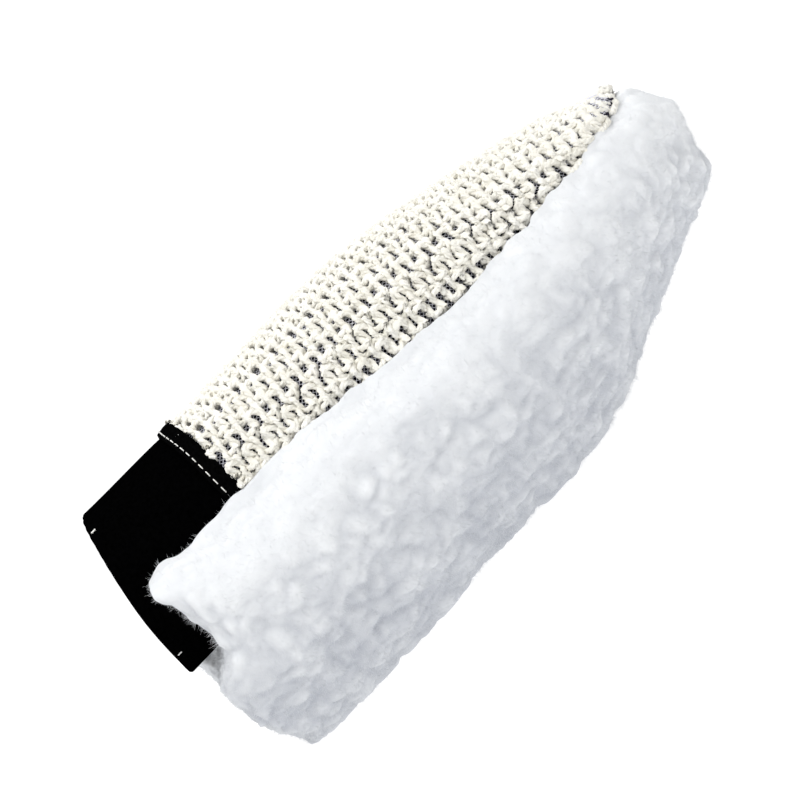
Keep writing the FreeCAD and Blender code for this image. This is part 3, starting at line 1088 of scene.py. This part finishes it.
def cuff_cloth(name, profile_out, profile_in, finish):
    """A closed ring of cloth from two matching lists of (distance from mouth, lift)."""
    angle = RING[:-1]
    faces = []
    for profile in (profile_out, profile_in):
        profile = np.array(profile)
        s = np.repeat(profile[:, :1], len(angle), 1)
        lift = np.repeat(profile[:, 1:], len(angle), 1)
        faces.append(cuff_surface(s, np.repeat(angle[None], len(profile), 0), lift))
    return closed_pair(name, faces[0], faces[1], finish, wrap=True)


def fold_profile(inset):
    """The cuff cloth's path: along the outside, round the mouth's edge, and back as a hem."""
    length = cuff_high[1] - cuff_low[1]
    path = [(s, -inset) for s in np.linspace(length, FOLD, 60)]
    bend = FOLD - inset
    for turn in np.linspace(0, math.pi, 9)[1:-1]:
        path.append((FOLD - bend * math.sin(turn), -FOLD + bend * math.cos(turn)))
    path += [(s, -2 * FOLD + inset) for s in np.linspace(FOLD, HEM, 14)]
    return path


def cuff_band(name, start, end, rows, sink, thickness, finish):
    """A ring of cloth inside the cuff, between two distances from the mouth's edge."""
    runs = np.linspace(start, end, rows)
    return cuff_cloth(name, [(s, -sink) for s in runs], [(s, -sink - thickness) for s in runs], finish)


def make_cuff():
    outer = cuff_cloth("cuff_outer_cloth", fold_profile(0.0), fold_profile(CUFF_CLOTH), CUFF)
    lining = cuff_band("cuff_lining_cloth", LINING_FROM, cuff_high[1] - cuff_low[1], 50,
                       LINING_SINK, CUFF_CLOTH, LINING)
    elastic = cuff_band("cuff_elastic_band", ELASTIC_FROM, ELASTIC_FROM + ELASTIC_WIDTH, 12,
                        ELASTIC_SINK, ELASTIC_THICK, ELASTIC)
    settle(outer, "cuff_outer")
    settle(lining, "cuff_lining")
    settle(elastic, "cuff_elastic")
    return outer, lining, elastic


# -------- binding, its thread and the bar-tacks

BINDING_HALF_WIDTH = 3.5 * MM
BINDING_HALF_THICK = 1.45 * MM
BINDING_LIFT = 1.1 * MM
BINDING_POINTS = 28
BINDING_ROUNDNESS = 0.62
STITCHES = 28
STITCH_LONG = 2.7 * MM
STITCH_RADIUS = 0.22 * MM
STITCH_GROOVE = 0.4 * MM
STITCH_PLACE = -1.9 * MM
STITCH_RISE = 0.9 * MM
GROOVE_WIDTH = 0.9 * MM
PULL_WIDTH = 0.02
BINDING_SHIFT = 0.4 * MM
BINDING_DRIFT = 0.5 * MM
BINDING_ROUGH = 0.16 * MM
# How the tape's ends close: (row, share of its full size left).
BINDING_ENDS = ((0, 0.02), (1, 0.7), (-1, 0.02), (-2, 0.7))
binding_middle = (binding_low[1] + binding_high[1]) / 2


def binding_frame(angle):
    """Centre of the binding, and the way out from it, at angles round the cuff."""
    drift = BINDING_DRIFT * noise(np.stack([30 * MM * angle, 0 * angle, 0 * angle], 1), 18 * MM, 81)
    centre = cuff_skin.point(np.full(len(angle), cuff_high[1]), angle, BINDING_LIFT)
    centre[:, 1] = binding_middle + BINDING_SHIFT + drift
    out = np.stack([np.cos(angle), 0 * angle, np.sin(angle)], 1)
    return centre, out


def stitch_angles():
    """The angles where stitches start and end, in even steps along the binding."""
    fine = np.linspace(0.06, math.pi - 0.06, 400)
    centre, _ = binding_frame(fine)
    arc = arc_lengths(centre)
    spread = np.linspace(2 * MM, arc[-1] - 2 * MM, STITCHES)
    half = STITCH_LONG / 2
    return np.interp(spread - half, arc, fine), np.interp(spread + half, arc, fine)


def rounded(wave):
    """A sine or cosine flattened so that the tape's section is nearly a box."""
    return np.sign(wave) * np.abs(wave) ** BINDING_ROUNDNESS


def make_binding():
    """A folded tape over the end of the cuff, drawn in along its row of stitches."""
    angle = np.linspace(-0.02, math.pi + 0.02, 420)
    centre, out = binding_frame(angle)
    turn = np.arange(BINDING_POINTS) * math.tau / BINDING_POINTS
    wide = rounded(np.cos(turn)) * BINDING_HALF_WIDTH
    thick = rounded(np.sin(turn)) * BINDING_HALF_THICK
    groove = np.where(thick > 0, np.exp(-((wide - STITCH_PLACE) / GROOVE_WIDTH) ** 2) * STITCH_GROOVE, 0)
    first, last = stitch_angles()
    middle = (first + last) / 2
    pull = np.exp(-(np.abs(angle[:, None] - middle[None]).min(1) / PULL_WIDTH) ** 2)
    place = centre[:, None] + out[:, None] * (thick - groove * (0.6 + 0.4 * pull[:, None]))[..., None]
    place = place + np.array([0, 1, 0]) * wide[None, :, None]
    rough = noise(place.reshape(-1, 3), 5 * MM, 82).reshape(place.shape[:2]) * BINDING_ROUGH
    place = place + out[:, None] * rough[..., None]
    for row, share in BINDING_ENDS:
        place[row] = place[row].mean(0) + (place[row] - place[row].mean(0)) * share
    faces = grid_faces(len(angle), BINDING_POINTS, wrap=True)
    made = new_object("cuff_binding_tape", place.reshape(-1, 3), faces, BINDING)
    settle(made, "cuff_binding")


def make_topstitch():
    first, last = stitch_angles()
    up = BINDING_HALF_THICK + STITCH_RADIUS * 0.4
    ends = []
    for angle in (first, last):
        centre, out = binding_frame(angle)
        ends.append(centre + out * up + np.array([0, STITCH_PLACE, 0]))
    _, out = binding_frame((first + last) / 2)
    paths = stitch_paths(*ends, STITCH_RISE, out)
    make_threads("binding_topstitch_threads", "binding_topstitch", paths, STITCH_RADIUS)


# Bar-tacks: distance from the mouth's edge, angle round the cuff, lift above its cloth, length.
BARTACKS = ((2.2 * MM, 0.86, 0.2 * MM, 1.8 * MM), (2.2 * MM, -0.72, 0.2 * MM, 1.8 * MM),
            (47.5 * MM, 0.90, 2.7 * MM, 3.6 * MM))
TACK_TURNS = 9
TACK_HALF = 0.2 * MM
TACK_THREAD = 0.12 * MM


def make_bartacks():
    """Short dense rows of thread that wrap over and over across themselves."""
    paths = []
    turn = np.linspace(0, TACK_TURNS * math.tau, TACK_TURNS * 10)
    for s, angle, lift, long in BARTACKS:
        along = s - long / 2 + long * turn / turn[-1]
        around_it = np.full(len(turn), angle)
        radius = cuff_skin.radius(mouth_at(around_it) + along, around_it)
        sway = TACK_HALF * np.cos(turn) * 1.5 / radius
        rise = lift + TACK_HALF * 0.7 * np.sin(turn)
        paths.append(cuff_surface(along, around_it + sway, rise + TACK_THREAD))
    make_threads("bartack_threads", "bartacks", np.array(paths), TACK_THREAD, 6)


palm_lining, backing_cloth = make_palm_cloths()
make_tape()
make_seam_thread()
cuff_cloths = make_cuff()
make_binding()
make_topstitch()
make_bartacks()

# -------- stage, light and camera

VIEW_AZIMUTH = 84.3
VIEW_ELEVATION = 5.0
VIEW_ROLL = 46.3
LENS = 125.0
SENSOR = 36.0
VIEW_WIDTH = 0.2945
AIM_SHIFT = (-0.0097, -0.0066)
STAGE_RADIUS = 2.6
STAGE_BEND = 0.5
WALL_HEIGHT = 0.8
STAGE_SIDES = 96
FLOOR_GLOW = 0.9
BACKDROP_GLOW = 1.0
WORLD_GLOW = 0.2
# Round lamps: name, place, size and power.
LAMPS = (("near_side", (0.6, -0.2, 1.3), 1.6, 19.5), ("far_side", (-0.9, 0.2, 1.2), 1.4, 14))
LAMP_AIM = (0, 0, 0.05)


def add_camera():
    """A long lens on the +X side, a little towards the mouth, rolled so the tip is up."""
    data = bpy.data.cameras.new("camera")
    data.lens = LENS
    data.sensor_width = SENSOR
    eye = linked("camera", data)
    azimuth, elevation = math.radians(VIEW_AZIMUTH), math.radians(VIEW_ELEVATION)
    toward = Vector((math.sin(azimuth) * math.cos(elevation),
                     -math.cos(azimuth) * math.cos(elevation), math.sin(elevation)))
    turn = (-toward).to_track_quat("-Z", "Y")
    turn = turn @ Quaternion((0, 0, 1), -math.radians(VIEW_ROLL))
    centre = Vector(np.mean(cad_box, axis=0))
    centre += turn @ Vector((AIM_SHIFT[0], AIM_SHIFT[1], 0))
    eye.location = centre + toward * (LENS * VIEW_WIDTH / SENSOR)
    eye.rotation_mode = "QUATERNION"
    eye.rotation_quaternion = turn
    bpy.context.scene.camera = eye


def add_lamp(name, place, size, power):
    data = bpy.data.lights.new(name, "AREA")
    data.shape = "DISK"
    data.size = size
    data.energy = power
    lamp = linked(name, data)
    lamp.location = place
    lamp.rotation_euler = (Vector(LAMP_AIM) - Vector(place)).to_track_quat("-Z", "Y").to_euler()


def stage_material(name, strength):
    """White paint that gives off a little light of its own."""
    made, tree, shader = material(name, (0.25, 0.25, 0.25), 0.9)
    glow(shader, (1, 1, 1), strength)
    tint(tree, shader, object_noise(tree, 3), (0.245, 0.245, 0.245), (0.255, 0.255, 0.255))
    return made


def stage_piece(name, profile, finish):
    """A white surface that turns a profile of (radius, height) round the mitt."""
    turn = np.arange(STAGE_SIDES) * math.tau / STAGE_SIDES
    rows = [np.stack([r * np.cos(turn), r * np.sin(turn), 0 * turn + z], 1) for r, z in profile]
    faces = grid_faces(len(rows), STAGE_SIDES, wrap=True)
    new_object(name, np.concatenate(rows), faces, finish)


def add_stage():
    """A round white floor that meets a low white wall in a wide bend."""
    profile = [(STAGE_RADIUS + STAGE_BEND * math.sin(turn), STAGE_BEND * (1 - math.cos(turn)))
               for turn in np.linspace(0, math.pi / 2, 17)]
    profile.append((STAGE_RADIUS + STAGE_BEND, WALL_HEIGHT))
    floor = [(STAGE_RADIUS * share, 0.0) for share in (1e-4, 0.1, 0.3, 1.0)]
    stage_piece("floor", floor, stage_material("white_floor", FLOOR_GLOW))
    stage_piece("backdrop", profile, stage_material("white_backdrop", BACKDROP_GLOW))


def light_scene():
    world = bpy.data.worlds.new("studio")
    world.use_nodes = True
    background = world.node_tree.nodes["Background"]
    background.inputs["Color"].default_value = (1, 1, 1, 1)
    background.inputs["Strength"].default_value = WORLD_GLOW
    bpy.context.scene.world = world
    for lamp in LAMPS:
        add_lamp(*lamp)
    bpy.context.scene.view_settings.view_transform = "Standard"


add_stage()
light_scene()
add_camera()
